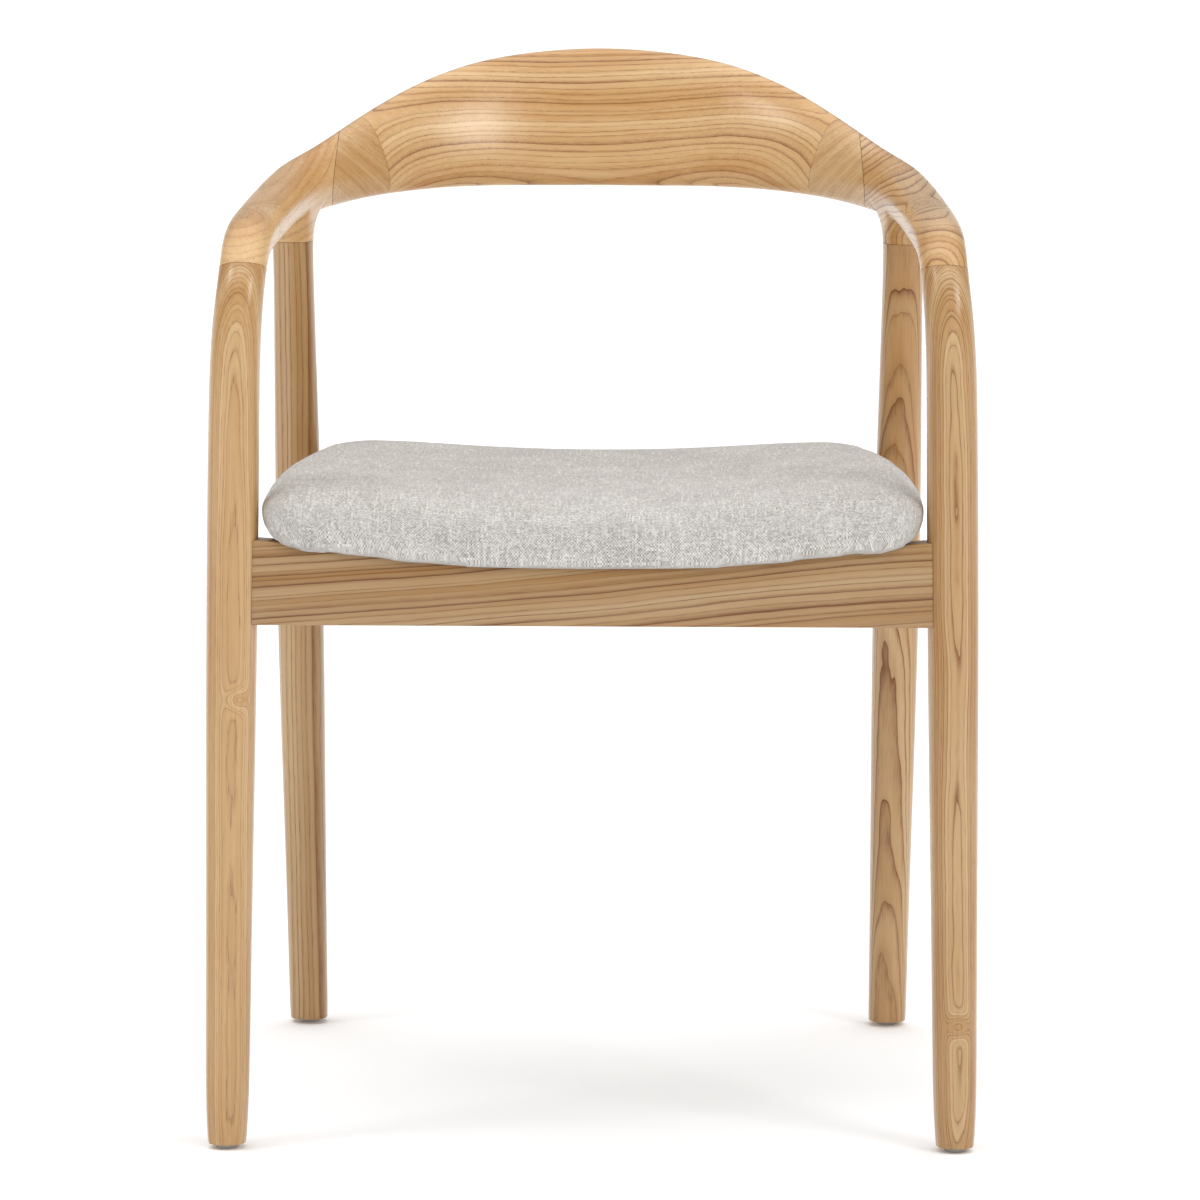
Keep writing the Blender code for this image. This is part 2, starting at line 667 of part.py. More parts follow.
def add_screw(name, head, direction, length, holes, parts_bored):
    """A countersunk wood screw from its head inwards, with its hole in each part that it passes."""
    new_turned(name, screw_profile(length), head + direction * length, direction, STEEL, 1.0)
    radius = SCREW_RADIUS + GAP
    for part in parts_bored:
        holes[part].append((head - direction * 0.002, head + direction * (length + GAP), radius))
    recess = SCREW_HEAD_RADIUS + GAP * 2
    block = parts_bored[0]
    holes[block].append((head - direction * 0.03, head + direction * (SCREW_HEAD + GAP), recess))


def add_dowels(holes):
    for name, middle, direction, half, ends in dowel_plan():
        bm = bmesh.new()
        add_rod(bm, middle - direction * half, middle + direction * half, DOWEL_RADIUS)
        new_object(name, bm, WOOD)
        deeper = direction * (half + GAP)
        for part in ends:
            holes[part].append((middle - deeper, middle + deeper, DOWEL_RADIUS + GAP))


def add_screws(side, holes):
    """The screws up into the seat board and out into the side rails, on one side."""
    word = side_name(side)
    for place, y, normal, inward in cross_rail_faces():
        block = f"corner_block_{place}_{word}"
        corner = block_corner(side, y)
        head = corner + Vector((-side * 0.0160, inward * 0.0160, BLOCK_BOTTOM + 0.003))
        bored = (block, "dust_cover", "seat_cover", "seat_board")
        add_screw(f"seat_screw_{place}_{word}", head, UPWARDS, SEAT_SCREW_LENGTH, holes, bored)
        head = corner + Vector((-side * 0.0145, inward * 0.0270, (BLOCK_TOP + BLOCK_BOTTOM) / 2))
        bored = (block, f"side_rail_{word}")
        outwards = SIDEWAYS * side
        add_screw(f"block_screw_{place}_{word}", head, outwards, BLOCK_SCREW_LENGTH, holes, bored)


def add_glide(leg, foot, holes):
    """A round glide under a leg, with its nail."""
    under_leg = NAIL_LENGTH - FOOT_Z + GAP
    profile = (
        (0, 0),
        (NAIL_RADIUS, 0.002),
        (NAIL_RADIUS, under_leg),
        (GLIDE_RADIUS, under_leg),
        (GLIDE_RADIUS, NAIL_LENGTH - GLIDE_EDGE),
        (GLIDE_RADIUS - GLIDE_EDGE, NAIL_LENGTH),
        (0, NAIL_LENGTH),
    )
    new_turned(f"glide_{leg}", profile, foot + UPWARDS * NAIL_LENGTH, UPWARDS, GREY_PLASTIC)
    holes[leg].append((foot, foot + UPWARDS * (NAIL_LENGTH + GAP), NAIL_RADIUS + GAP))


def make_fixings():
    """Dowels, screws and glides, and the holes that they sit in."""
    holes = {obj.name: [] for obj in parts.objects}
    add_dowels(holes)
    for side in (1, -1):
        add_screws(side, holes)
        front_foot = Vector((FRONT_LEG_FOOT_X, FRONT_LEG_Y, 0))
        add_glide(f"front_leg_{side_name(side)}", mirrored(front_foot, side), holes)
        add_glide(f"rear_leg_{side_name(side)}", mirrored(rear_leg_axis(0), side), holes)
    for part, rods in holes.items():
        bore(part, rods)


def bore(part, rods):
    """Bore the holes of a part, each with a cutter of its own, because some cross each other."""
    for index, (start, end, radius) in enumerate(rods):
        bm = bmesh.new()
        add_rod(bm, start, end, radius)
        subtract(parts.objects[part], new_cutter(f"{part}_bore_{index}", bm))


def move_to_origin():
    """Move every part and cutter from the drawing's depth zero to the middle of the chair."""
    for obj in parts.objects[:] + cutters.objects[:]:
        obj.location.y -= ORIGIN_Y


clear_scene()
parts = new_collection("wooden_armchair")
cutters = new_collection("cutters")
make_wooden_frame()
make_seat_frame()
make_seat()
make_fixings()
move_to_origin()
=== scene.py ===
import math

import bmesh
import bpy
import numpy
from mathutils import Euler, Matrix, Vector


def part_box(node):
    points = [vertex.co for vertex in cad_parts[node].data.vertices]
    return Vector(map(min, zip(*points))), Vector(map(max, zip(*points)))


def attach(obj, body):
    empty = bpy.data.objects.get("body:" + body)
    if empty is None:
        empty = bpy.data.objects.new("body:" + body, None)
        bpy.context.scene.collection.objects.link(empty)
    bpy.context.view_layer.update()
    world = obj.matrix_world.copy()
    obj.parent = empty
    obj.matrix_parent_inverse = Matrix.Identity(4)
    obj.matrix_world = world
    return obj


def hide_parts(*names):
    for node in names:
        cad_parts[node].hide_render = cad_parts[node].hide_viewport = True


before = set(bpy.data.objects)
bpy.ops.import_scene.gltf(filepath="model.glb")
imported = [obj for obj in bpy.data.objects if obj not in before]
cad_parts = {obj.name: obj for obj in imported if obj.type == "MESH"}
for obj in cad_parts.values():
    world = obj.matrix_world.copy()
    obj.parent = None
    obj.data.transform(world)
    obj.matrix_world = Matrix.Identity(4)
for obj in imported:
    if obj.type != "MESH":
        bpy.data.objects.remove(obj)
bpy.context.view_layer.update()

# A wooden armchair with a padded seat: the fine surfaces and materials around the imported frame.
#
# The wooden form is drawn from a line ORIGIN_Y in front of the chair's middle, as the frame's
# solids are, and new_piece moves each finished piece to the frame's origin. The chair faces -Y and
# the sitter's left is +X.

# ---- Driving dimensions of the wooden form -------------------------------------------------
GAP = 0.0003  # play between neighbouring pieces
RING = 12  # corners in one ring of the cage
CAGE_SWELL = 1 / (2 / 3 + math.cos(2 * math.pi / RING) / 3)  # a cage ring over its smooth curve
LEVELS = 3  # subdivisions of the cage

ORIGIN_Y = 0.0116
FOOT_Z = 0.0040
FRONT_LEG_Y = -0.2150
FRONT_LEG_FOOT_X = 0.2650
FRONT_LEG_LEAN = 0.0141
REAR_FOOT_X = 0.2304
REAR_FOOT_Y = 0.2400
REAR_TOP = Vector((0.2322, 0.0860, 0.6370))
REAR_LEAN = (REAR_FOOT_Y - REAR_TOP.y) / REAR_TOP.z

# The front leg's rings: height and half width.
FRONT_LEG_RINGS = (
    (-0.030, 0.0152),
    (0.080, 0.0159),
    (0.220, 0.0171),
    (0.350, 0.0182),
    (0.460, 0.0184),
    (0.545, 0.0181),
)
# The knee, the arm and the back: x, y, z, heading, recline, half width, half height, squareness.
ARM_RINGS = (
    (0.2560, -0.2142, 0.588, 1, 0, 0.0177, 0.0180, 2.4),
    (0.2539, -0.2100, 0.615, 2, 0, 0.0171, 0.0178, 2.3),
    (0.2517, -0.2010, 0.638, 3, 0, 0.0167, 0.0176, 2.2),
    (0.2503, -0.1840, 0.6535, 4, 0, 0.0172, 0.0172, 2.2),
    (0.2493, -0.1600, 0.6585, 4, 0, 0.0178, 0.0170, 2.2),
    (0.2480, -0.1200, 0.6612, 4, 0, 0.0184, 0.0170, 2.2),
    (0.2455, -0.0700, 0.6640, 4, 1, 0.0185, 0.0172, 2.2),
    (0.2425, -0.0200, 0.6670, 5, 2, 0.0183, 0.0178, 2.2),
    (0.2388, 0.0250, 0.6703, 7, 3, 0.0181, 0.0186, 2.2),
    (0.2345, 0.0600, 0.6734, 10, 5, 0.0178, 0.0196, 2.2),
    (0.2298, 0.0840, 0.6762, 15, 7, 0.0174, 0.0208, 2.2),
    (0.2214, 0.1080, 0.6790, 22, 9, 0.0162, 0.0220, 2.1),
    (0.2080, 0.1340, 0.6832, 31, 12, 0.0153, 0.0238, 2.1),
    (0.1896, 0.1590, 0.6903, 40, 15, 0.0148, 0.0275, 2.2),
    (0.1650, 0.1820, 0.6988, 49, 16, 0.0142, 0.0335, 2.3),
    (0.1320, 0.2050, 0.7088, 58, 16, 0.0132, 0.0414, 2.5),
    (0.0900, 0.2250, 0.7174, 68, 15, 0.0122, 0.0490, 2.7),
    (0.0450, 0.2370, 0.7206, 79, 14, 0.0116, 0.0526, 2.8),
    (0.0000, 0.2410, 0.7222, 90, 14, 0.0114, 0.0540, 2.8),
)
STUB_RING = 10  # the ring of ARM_RINGS over the middle of the rear leg
# The rear leg's rings: distance below its top along its axis, and half width.
REAR_LEG_RINGS = (
    (-0.0090, 0.0158),
    (0.0070, 0.0151),
    (0.0400, 0.0151),
    (0.1200, 0.0163),
    (0.2300, 0.0177),
    (0.3500, 0.0177),
    (0.5000, 0.0160),
    (0.6200, 0.0149),
    (0.7000, 0.0146),
)
LEG_SQUARENESS = 2.5

# Glue joints of the frame: a point on the joint and the direction across it.
KNEE_JOINT = (Vector((0.2530, -0.1990, 0.6400)), Vector((0, math.sin(0.37), math.cos(0.37))))
HIP_JOINT = (REAR_TOP, Vector((0, -0.05, 1)).normalized())
SHOULDER_JOINT = (Vector((0.1760, 0.1720, 0.6950)), Vector((0.69, -0.69, -0.20)).normalized())
BLOCK_JOINT = (Vector((0.2020, 0.1420, 0.6850)), Vector((1, 0, 0.07)).normalized())
SAW_REACH = 0.080  # a saw cut takes in the faces within this distance of its point

# Seat frame
RAIL_BOTTOM = 0.3857
RAIL_END_TOP = 0.4470
RAIL_SCOOP = 0.0170
SCOOP_HALF = 0.2436  # the scoop ends at this distance from the chair's middle
RAIL_THICKNESS = 0.0220
RAIL_EDGE = 0.0013  # the rails' edges are rounded by this radius
RAIL_COLUMNS = 64
FRONT_RAIL_Y = -0.2170
REAR_RAIL_Y = REAR_FOOT_Y - REAR_LEAN * (RAIL_BOTTOM + RAIL_END_TOP) / 2
SIDE_RAIL_FRONT_X = 0.2185
SIDE_RAIL_REAR_X = 0.2275
SIDE_RAIL_THICKNESS = 0.0200
SIDE_RAIL_TOP = 0.4425

# Seat
SEAT_FRONT_Y = -0.2375
SEAT_WAIST_Y = 0.1195  # from here back the seat is narrower, between the rear legs
SEAT_REAR_Y = 0.1753
SEAT_HALF_FRONT = 0.2400
SEAT_HALF_WAIST = 0.2115
SEAT_HALF_REAR = 0.1863
SEAT_BULGE = 0.0112  # the seat's sides bulge this far between the front and the rear legs
SEAT_THICKNESS = 0.0419
SEAT_FROM = 0.0012  # the seat's underside lies this far above the rails' tops
DUST_COVER_INSET = 0.0200

# ---- Colours, as linear values -------------------------------------------------------------
ASH_LIGHT = (0.730, 0.500, 0.262)
ASH_MID = (0.500, 0.245, 0.064)
ASH_LINE = (0.210, 0.060, 0.006)
ASH_PORE = (0.190, 0.056, 0.006)
FABRIC_DARK = (0.215, 0.196, 0.178)
FABRIC_PALE = (0.780, 0.755, 0.725)


# ---- Objects and cuts ----------------------------------------------------------------------
def new_piece(name, bm, material, node_names=()):
    """Put a finished bmesh, drawn in the drawing's depths, into the frame as a piece."""
    bmesh.ops.recalc_face_normals(bm, faces=bm.faces)
    bmesh.ops.translate(bm, verts=bm.verts, vec=(0, -ORIGIN_Y, 0))
    mesh = bpy.data.meshes.new(name)
    bm.to_mesh(mesh)
    bm.free()
    mesh.shade_smooth()
    mesh.set_sharp_from_angle(angle=math.radians(40))
    mesh.materials.append(material)
    piece = bpy.data.objects.new(name, mesh)
    bpy.context.scene.collection.objects.link(piece)
    settle(piece, node_names)
    return piece


def settle(piece, node_names=()):
    """Hang a piece on the frame's root body and hide the frame's nodes that it stands for."""
    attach(piece, "root")
    if node_names:
        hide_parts(*node_names)


def evaluated_bmesh(obj):
    """A bmesh of an object with its modifiers applied."""
    bpy.context.view_layer.update()
    evaluated = obj.evaluated_get(bpy.context.evaluated_depsgraph_get())
    bm = bmesh.new()
    bm.from_mesh(evaluated.to_mesh())
    return bm


def helper_object(name, bm):
    """An object that is only there to be evaluated or to cut, and is then removed."""
    mesh = bpy.data.meshes.new(name)
    bm.to_mesh(mesh)
    bm.free()
    obj = bpy.data.objects.new(name, mesh)
    bpy.context.scene.collection.objects.link(obj)
    return obj


def discard(obj):
    mesh = obj.data
    bpy.data.objects.remove(obj)
    bpy.data.meshes.remove(mesh)


def keep_below(bm, point, normal):
    """Cut away what is on the normal's side of a plane and close the cut."""
    geometry = bm.verts[:] + bm.edges[:] + bm.faces[:]
    bmesh.ops.bisect_plane(bm, geom=geometry, plane_co=point, plane_no=normal, clear_outer=True)
    bmesh.ops.holes_fill(bm, edges=[edge for edge in bm.edges if edge.is_boundary], sides=0)


def slice_across(bm, axis, low, high, count):
    """Slice a bmesh into equal columns along one axis."""
    for step in range(1, count):
        point = Vector((0, 0, 0))
        normal = Vector((0, 0, 0))
        point[axis] = low + (high - low) * step / count
        normal[axis] = 1
        geometry = bm.verts[:] + bm.edges[:] + bm.faces[:]
        bmesh.ops.bisect_plane(bm, geom=geometry, plane_co=point, plane_no=normal)


def box(low, high):
    """A box between two corners, as a bmesh."""
    bm = bmesh.new()
    size = [high[i] - low[i] for i in range(3)]
    middle = Vector([(high[i] + low[i]) / 2 for i in range(3)])
    place = Matrix.Translation(middle) @ Matrix.Diagonal((*size, 1))
    bmesh.ops.create_cube(bm, size=1, matrix=place)
    return bm


def side_name(side):
    return "left" if side > 0 else "right"


def mirrored(vector, side):
    return Vector((vector.x * side, vector.y, vector.z))


# ---- The flowing wooden form ---------------------------------------------------------------
def ring_points(centre, side, up, half_side, half_up, squareness):
    """One cage ring: a superellipse, from the side direction round towards the up direction."""
    points = []
    for step in range(RING):
        turn = 2 * math.pi * step / RING
        c, s = math.cos(turn), math.sin(turn)
        across = math.copysign(abs(c) ** (2 / squareness), c) * half_side * CAGE_SWELL
        along = math.copysign(abs(s) ** (2 / squareness), s) * half_up * CAGE_SWELL
        points.append(centre + side * across + up * along)
    return points


def bow_stations():
    """The stations of the half bow: centre, heading, recline, half width, half height, squareness."""
    stations = []
    for height, half in FRONT_LEG_RINGS:
        x = FRONT_LEG_FOOT_X - FRONT_LEG_LEAN * height
        stations.append((Vector((x, FRONT_LEG_Y, height)), 0, 0, half, half, LEG_SQUARENESS))
    for x, y, z, heading, recline, half_side, half_up, squareness in ARM_RINGS:
        stations.append((Vector((x, y, z)), heading, recline, half_side, half_up, squareness))
    return stations


def bow_rings():
    """The half bow's cage rings, from the front foot to the middle of the backrest."""
    stations = bow_stations()
    rings = []
    for index, (centre, heading, recline, half_side, half_up, squareness) in enumerate(stations):
        before = stations[max(index - 1, 0)][0]
        last = index + 1 == len(stations)
        tangent = Vector((-1, 0, 0)) if last else (stations[index + 1][0] - before).normalized()
        turn = math.radians(heading)
        side = Vector((math.cos(turn), math.sin(turn), 0))
        side = (side - side.dot(tangent) * tangent).normalized()
        up = side.cross(tangent)
        tilt = math.radians(recline)
        leaned_up = up * math.cos(tilt) + side * math.sin(tilt)
        leaned_side = side * math.cos(tilt) - up * math.sin(tilt)
        rings.append(ring_points(centre, leaned_side, leaned_up, half_side, half_up, squareness))
    return rings


def rear_leg_axis(height):
    """The point on the rear leg's axis at a height."""
    foot = Vector((REAR_FOOT_X, REAR_FOOT_Y, 0))
    return foot.lerp(REAR_TOP, height / REAR_TOP.z)


def rear_leg_rings():
    """The rear leg's cage rings, from +X round towards the back, from the arm down."""
    down = (rear_leg_axis(0) - REAR_TOP).normalized()
    side = Vector((1, 0, 0))
    back = side.cross(down)
    return [
        ring_points(REAR_TOP + down * distance, side, back, half, half, LEG_SQUARENESS)
        for distance, half in REAR_LEG_RINGS
    ]


def half_frame_cage():
    """The +X half of the frame as a cage of quads, with a stub under the arm for the rear leg."""
    bm = bmesh.new()
    rings = [[bm.verts.new(point) for point in ring] for ring in bow_rings()]
    stub = len(FRONT_LEG_RINGS) + STUB_RING
    low, high = 3 * RING // 4 - 2, 3 * RING // 4 + 2  # the stub takes the corners that face down
    for i in range(len(rings) - 1):
        for k in range(RING):
            if i in (stub - 1, stub) and low <= k < high:
                continue
            n = (k + 1) % RING
            bm.faces.new((rings[i][k], rings[i + 1][k], rings[i + 1][n], rings[i][n]))
    bm.faces.new(rings[0])
    for k in range(low + 1, high):
        bm.verts.remove(rings[stub][k])
    front, middle, back = rings[stub - 1], rings[stub], rings[stub + 1]
    above = [middle[high]]
    above += [back[k] for k in range(high, low - 1, -1)]
    above += [middle[low]]
    above += [front[k] for k in range(low, high + 1)]
    for ring in rear_leg_rings():
        below = [bm.verts.new(point) for point in ring]
        for k in range(RING):
            n = (k + 1) % RING
            bm.faces.new((above[k], above[n], below[n], below[k]))
        above = below
    bm.faces.new(above)
    return bm


def frame_form():
    """The whole wooden form before it is sawn: the half cage, mirrored and subdivided."""
    obj = helper_object("frame_form", half_frame_cage())
    mirror = obj.modifiers.new("mirror", "MIRROR")
    mirror.use_clip = True
    mirror.merge_threshold = 0.0001
    smooth = obj.modifiers.new("smooth", "SUBSURF")
    smooth.levels = LEVELS
    smooth.render_levels = LEVELS
    bm = evaluated_bmesh(obj)
    discard(obj)
    bmesh.ops.recalc_face_normals(bm, faces=bm.faces)
    return bm


def connected(bm, seed):
    """All the corners of the body that the corner nearest to the seed belongs to."""
    start = min(bm.verts, key=lambda vert: (vert.co - seed).length_squared)
    found = {start}
    waiting = [start]
    while waiting:
        for edge in waiting.pop().link_edges:
            for vert in edge.verts:
                if vert not in found:
                    found.add(vert)
                    waiting.append(vert)
    return found


def saw(bm, point, normal, seed):
    """Saw the body near the seed in two at a glue joint, with a kerf of GAP, and close both cuts."""
    for offset in (-GAP / 2, GAP / 2):
        body = connected(bm, seed)
        faces = [
            face
            for face in bm.faces
            if face.verts[0] in body and (face.calc_center_median() - point).length < SAW_REACH
        ]
        edges = list({edge for face in faces for edge in face.edges})
        verts = list({vert for face in faces for vert in face.verts})
        cut_at = point + normal * offset
        geometry = verts + edges + faces
        bmesh.ops.bisect_plane(bm, geom=geometry, plane_co=cut_at, plane_no=normal, dist=1e-7)
    kerf = [
        face
        for face in bm.faces
        if (face.calc_center_median() - point).length < SAW_REACH
        and all(abs((vert.co - point).dot(normal)) < GAP / 2 + 1e-6 for vert in face.verts)
    ]
    bmesh.ops.delete(bm, geom=kerf, context="FACES")
    bmesh.ops.holes_fill(bm, edges=[edge for edge in bm.edges if edge.is_boundary], sides=0)


def body_at(bm, seed):
    """A bmesh with a copy of one sawn piece."""
    body = connected(bm, seed)
    for vert in bm.verts:
        vert.tag = vert in body
    piece = bm.copy()
    bmesh.ops.delete(piece, geom=[vert for vert in piece.verts if not vert.tag], context="VERTS")
    return piece


def make_wooden_frame():
    """The legs, arms, inner blocks and backrest, sawn from the form at its glue joints."""
    bm = frame_form()
    keep_below(bm, Vector((0, 0, FOOT_Z)), Vector((0, 0, -1)))
    seeds = {
        "front_leg": Vector((0.2600, -0.2150, 0.3000)),
        "rear_leg": rear_leg_axis(0.30),
        "arm": Vector((0.2450, -0.0500, 0.6640)),
        "arm_inner_block": Vector((0.1850, 0.1400, 0.6900)),
    }
    for side in (1, -1):
        for point, normal in (KNEE_JOINT, HIP_JOINT, SHOULDER_JOINT, BLOCK_JOINT):
            seed = mirrored(seeds["arm"], side)
            saw(bm, mirrored(point, side), mirrored(normal, side), seed)
    for side in (1, -1):
        for part, seed in seeds.items():
            node = f"{part}_{side_name(side)}"
            piece = body_at(bm, mirrored(seed, side))
            new_piece(f"wood_{node}", piece, wood_for(node), [node])
    piece = body_at(bm, Vector((0, 0.2400, 0.7200)))
    new_piece("wood_backrest", piece, wood_for("backrest"), ["backrest"])
    bm.free()


# ---- Seat frame ----------------------------------------------------------------------------
def rail_top(x):
    """The height of the scooped tops of the front and rear rails."""
    reach = min(abs(x) / SCOOP_HALF, 1)
    return RAIL_END_TOP - RAIL_SCOOP * (1 - reach**2) ** 1.4


def round_edges(bm, edges, radius):
    bmesh.ops.bevel(bm, geom=edges, offset=radius, segments=3, profile=0.5, affect="EDGES")


def coped_rail(name, bm, legs):
    """A rail piece whose ends fit round the legs with a gap."""
    bmesh.ops.recalc_face_normals(bm, faces=bm.faces)
    rail = helper_object(f"{name}_blank", bm)
    cutters = [leg_clearance(leg) for leg in legs]
    for cutter in cutters:
        cut = rail.modifiers.new(cutter.name, "BOOLEAN")
        cut.operation = "DIFFERENCE"
        cut.solver = "EXACT"
        cut.object = cutter
    coped = evaluated_bmesh(rail)
    for obj in [rail] + cutters:
        discard(obj)
    new_piece(f"wood_{name}", coped, wood_for(name), [name])


def leg_clearance(leg):
    """A cutter with a leg's shape, larger by GAP all round, in the drawing's depths."""
    bm = bmesh.new()
    bm.from_mesh(bpy.data.objects[f"wood_{leg}"].data)
    bm.normal_update()
    for vert in bm.verts:
        vert.co += vert.normal * GAP * 1.1
        vert.co.y += ORIGIN_Y
    return helper_object(f"{leg}_clearance", bm)


def make_cross_rail(name, y, lean, half_length, legs):
    """A rail across the chair with a scooped top and rounded edges."""
    half = RAIL_THICKNESS / 2
    bm = box((-half_length, y - half, RAIL_BOTTOM), (half_length, y + half, RAIL_END_TOP))
    long_edges = [edge for edge in bm.edges if abs(edge.verts[0].co.x - edge.verts[1].co.x) > 0.1]
    round_edges(bm, long_edges, RAIL_EDGE)
    slice_across(bm, 0, -half_length, half_length, RAIL_COLUMNS)
    middle = (RAIL_BOTTOM + RAIL_END_TOP) / 2
    for vert in bm.verts:
        if vert.co.z > middle:
            vert.co.z -= RAIL_END_TOP - rail_top(vert.co.x)
        vert.co.y -= (vert.co.z - middle) * lean
    coped_rail(name, bm, legs)


def make_side_rail(side):
    """A rail from the back of the front rail to the front of a rear leg."""
    word = side_name(side)
    front = FRONT_RAIL_Y + RAIL_THICKNESS / 2 + GAP
    across = Vector((REAR_RAIL_Y - FRONT_RAIL_Y, SIDE_RAIL_FRONT_X - SIDE_RAIL_REAR_X, 0)).normalized()
    middle = Vector((SIDE_RAIL_FRONT_X, FRONT_RAIL_Y, 0))
    bm = box((-0.3, front, RAIL_BOTTOM + 0.002), (0.3, REAR_RAIL_Y, SIDE_RAIL_TOP))
    for way in (1, -1):
        face = middle + across * way * SIDE_RAIL_THICKNESS / 2
        keep_below(bm, mirrored(face, side), mirrored(across * way, side))
    long_edges = [edge for edge in bm.edges if abs(edge.verts[0].co.y - edge.verts[1].co.y) > 0.1]
    round_edges(bm, long_edges, RAIL_EDGE)
    coped_rail(f"side_rail_{word}", bm, [f"rear_leg_{word}"])


def make_seat_frame():
    """The four rails with their ends coped round the legs."""
    make_cross_rail("front_rail", FRONT_RAIL_Y, 0, 0.2590, ["front_leg_left", "front_leg_right"])
    make_cross_rail("rear_rail", REAR_RAIL_Y, REAR_LEAN, 0.2312, ["rear_leg_left", "rear_leg_right"])
    for side in (1, -1):
        make_side_rail(side)


# ---- Glides --------------------------------------------------------------------------------
def make_glides():
    """The four round plastic glides under the legs, turned, with their nails."""
    nail, nail_length, radius, thickness, edge = 0.0011, 0.0110, 0.0080, 0.0037, 0.0009
    profile = [(0, thickness + nail_length), (nail, thickness + nail_length - 0.002), (nail, thickness)]
    profile += [(radius - 0.0004, thickness), (radius, thickness - 0.0004)]
    for step in range(5):
        turn = math.radians(90 * step / 4)
        profile.append((radius - edge + edge * math.cos(turn), edge - edge * math.sin(turn)))
    profile.append((0, 0))
    material = plastic_material()
    for node in sorted(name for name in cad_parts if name.startswith("glide_")):
        low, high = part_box(node)
        bm = bmesh.new()
        verts = [bm.verts.new((distance, 0, height)) for distance, height in profile]
        for first, second in zip(verts, verts[1:]):
            bm.edges.new((first, second))
        bmesh.ops.spin(
            bm,
            geom=bm.verts[:] + bm.edges[:],
            axis=(0, 0, 1),
            cent=(0, 0, 0),
            steps=48,
            angle=2 * math.pi,
        )
        bmesh.ops.remove_doubles(bm, verts=bm.verts, dist=0.00001)
        middle = Vector(((low.x + high.x) / 2, (low.y + high.y) / 2 + ORIGIN_Y, low.z))
        bmesh.ops.translate(bm, verts=bm.verts, vec=middle)
        new_piece(f"fine_{node}", bm, material, [node])


# ---- The padded seat -----------------------------------------------------------------------
FRONT_SQUARENESS = 30  # how square the seat's front corners are, seen from above
REAR_SQUARENESS = 12
EDGE_ROUNDING = 0.090  # how far in from the front and rear edges the seat's top rounds over
SIDE_ROUNDING = 0.0255  # and how far in from its sides
REAR_FILL = 0.29  # the share of the scoop that the padding fills at the seat's rear edge
BOTTOM_ROUNDING = 0.008
WIDEST = 0.0240  # the seat is widest this far above the rails' tops
SEAT_HANG = 0.0130  # the front edge hangs this far below the rail's top
SEAT_LOBE = 0.0030  # and this much further on both sides of the middle
HANG_DEPTH = 0.014  # the hanging edge ends this far behind the front
REMESH = 0.0045
SWELL_CAP = 0.0030  # no point of the seat swells further than this
FRAMES = 18


def seat_half_width(y):
    """Half the seat's width at a depth."""
    if y > SEAT_WAIST_Y:
        share = (y - SEAT_WAIST_Y) / (SEAT_REAR_Y - SEAT_WAIST_Y)
        return SEAT_HALF_WAIST + (SEAT_HALF_REAR - SEAT_HALF_WAIST) * share
    share = max(y - SEAT_FRONT_Y, 0) / (SEAT_WAIST_Y - SEAT_FRONT_Y)
    straight = SEAT_HALF_FRONT + (SEAT_HALF_WAIST - SEAT_HALF_FRONT) * share
    return straight + SEAT_BULGE * 4 * share * (1 - share)


def seat_hang(x):
    """How far the seat's front edge hangs below the rail's top."""
    return SEAT_HANG + SEAT_LOBE * math.sin(math.pi * min(abs(x) / SEAT_HALF_FRONT, 1)) ** 2


def rounded_over(reach, level, rounding):
    """Turn a square edge section into an elliptic one: shares of the half span and of the height."""
    across = max(0, 1 - (1 - reach) / rounding)
    length = math.hypot(across, level)
    if across > 0 and length > 0:
        reach = 1 - rounding * (1 - across / length)
        level = level / length
    return reach, level


def rear_fill(x, y):
    """How far the padding fills the scoop at a place, less and less towards the front."""
    share = max(0, y - SEAT_FRONT_Y) / (SEAT_REAR_Y - SEAT_FRONT_Y)
    return REAR_FILL * share * (rail_top(x) - rail_top(0))


def seat_cushion_form():
    """The seat before it is inflated: a rounded slab that follows the scoop of the rails."""
    bm = box((-1, -1, -1), (1, 1, 1))
    for axis, count in ((0, 80), (1, 72), (2, 10)):
        slice_across(bm, axis, -1, 1, count)
    half_depth = (SEAT_REAR_Y - SEAT_FRONT_Y) / 2
    middle_y = (SEAT_REAR_Y + SEAT_FRONT_Y) / 2
    for vert in bm.verts:
        u, v, w = vert.co
        reach = max(abs(u), abs(v), 1e-6)
        squareness = FRONT_SQUARENESS if v < 0 else REAR_SQUARENESS
        plan = (abs(u) / reach) ** squareness + (abs(v) / reach) ** squareness
        plan = max(reach * plan ** (1 / squareness), 1e-6)
        top = SIDE_ROUNDING + (EDGE_ROUNDING - SIDE_ROUNDING) * (v / reach) ** 2
        rounding = (top if w > 0 else BOTTOM_ROUNDING) / half_depth
        rounded, level = rounded_over(reach, w, rounding)
        y = middle_y + v / plan * rounded * half_depth
        x = u / plan * rounded * seat_half_width(y)
        height = SEAT_THICKNESS - WIDEST if level > 0 else WIDEST - SEAT_FROM
        hang = seat_hang(x) * max(0, -w) * max(0, 1 - (y - SEAT_FRONT_Y) / HANG_DEPTH)
        lower = rear_fill(x, y) * max(0, level)
        vert.co = (x, y, rail_top(x) + WIDEST + level * height - hang - lower)
    return bm


